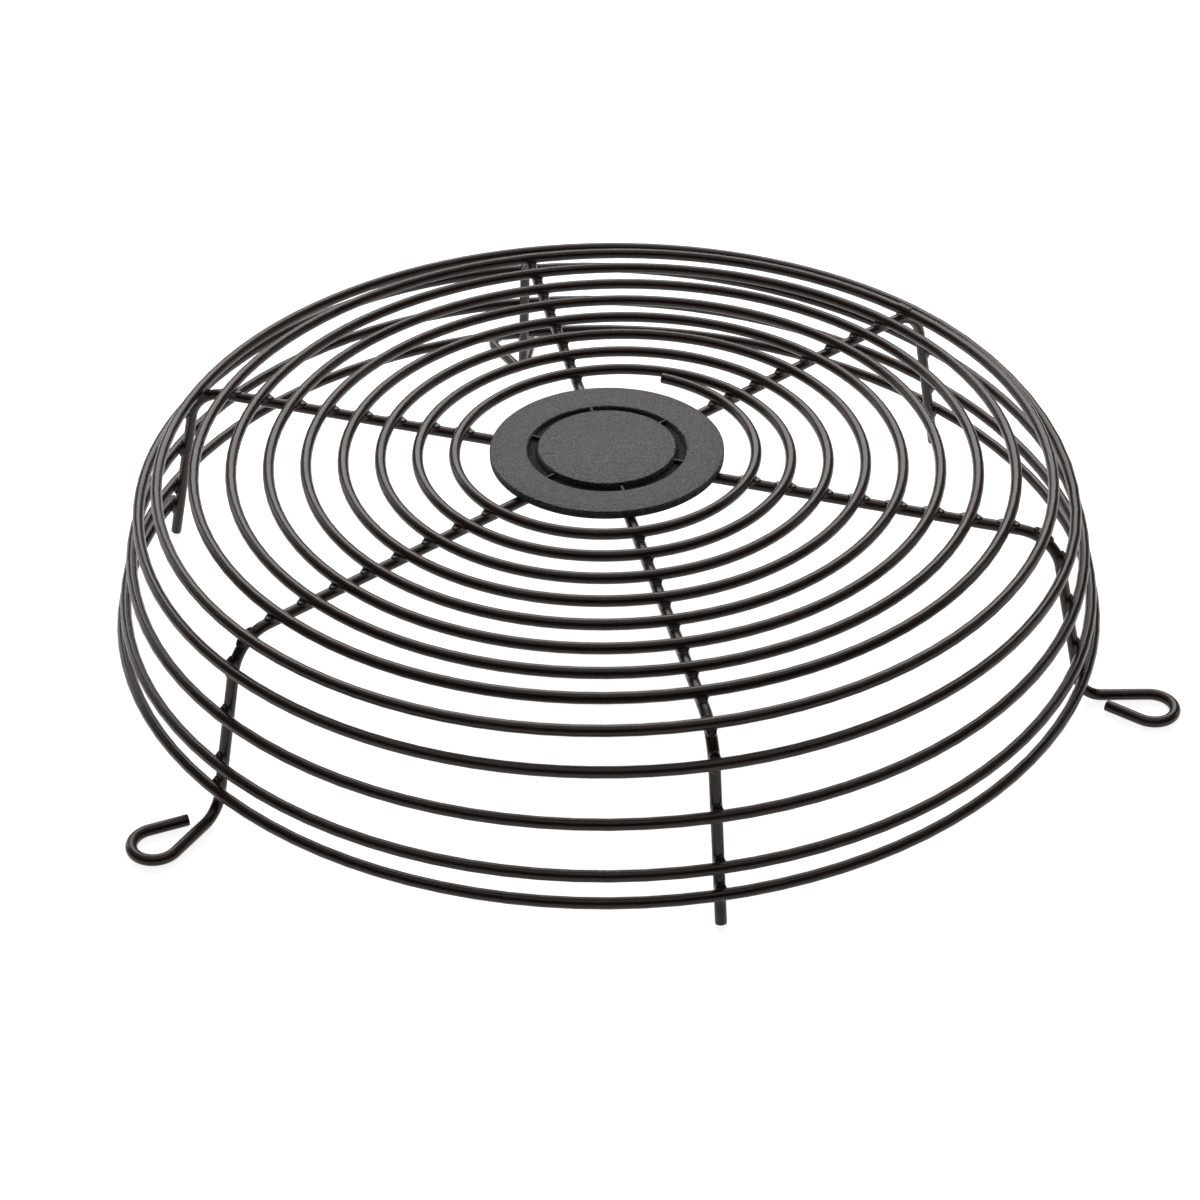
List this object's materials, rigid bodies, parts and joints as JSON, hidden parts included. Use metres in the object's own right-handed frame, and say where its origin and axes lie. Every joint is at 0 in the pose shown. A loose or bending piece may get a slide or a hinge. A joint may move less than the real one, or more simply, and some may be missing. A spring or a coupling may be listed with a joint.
{
  "type": "wire fan guard",
  "caption": "Round welded wire guard for a fan: a spiral wire over bent spoke wires with a grooved hub plate, screwed down through wire eyes at its foot.",
  "frame": {"origin": "on the guard's axis, in the plane of the undersides of the three screw eyes", "axes": "+Z along the axis, out of the face; +Y towards the first screw eye; +X completes a right-handed frame"},
  "size_m": [0.2866, 0.3037, 0.0565],
  "materials": {
    "wire_coat": "black semi-gloss powder coat on round steel wire",
    "plate_coat": "black satin powder coat on pressed sheet steel"
  },
  "bodies": {
    "root": {"hub_plate": "plate_coat", "spiral_wire": "wire_coat", "plain_leg_1": "wire_coat", "plain_leg_2": "wire_coat", "plain_leg_3": "wire_coat", "eye_leg_1": "wire_coat", "eye_leg_2": "wire_coat", "eye_leg_3": "wire_coat"}
  },
  "joints": []
}
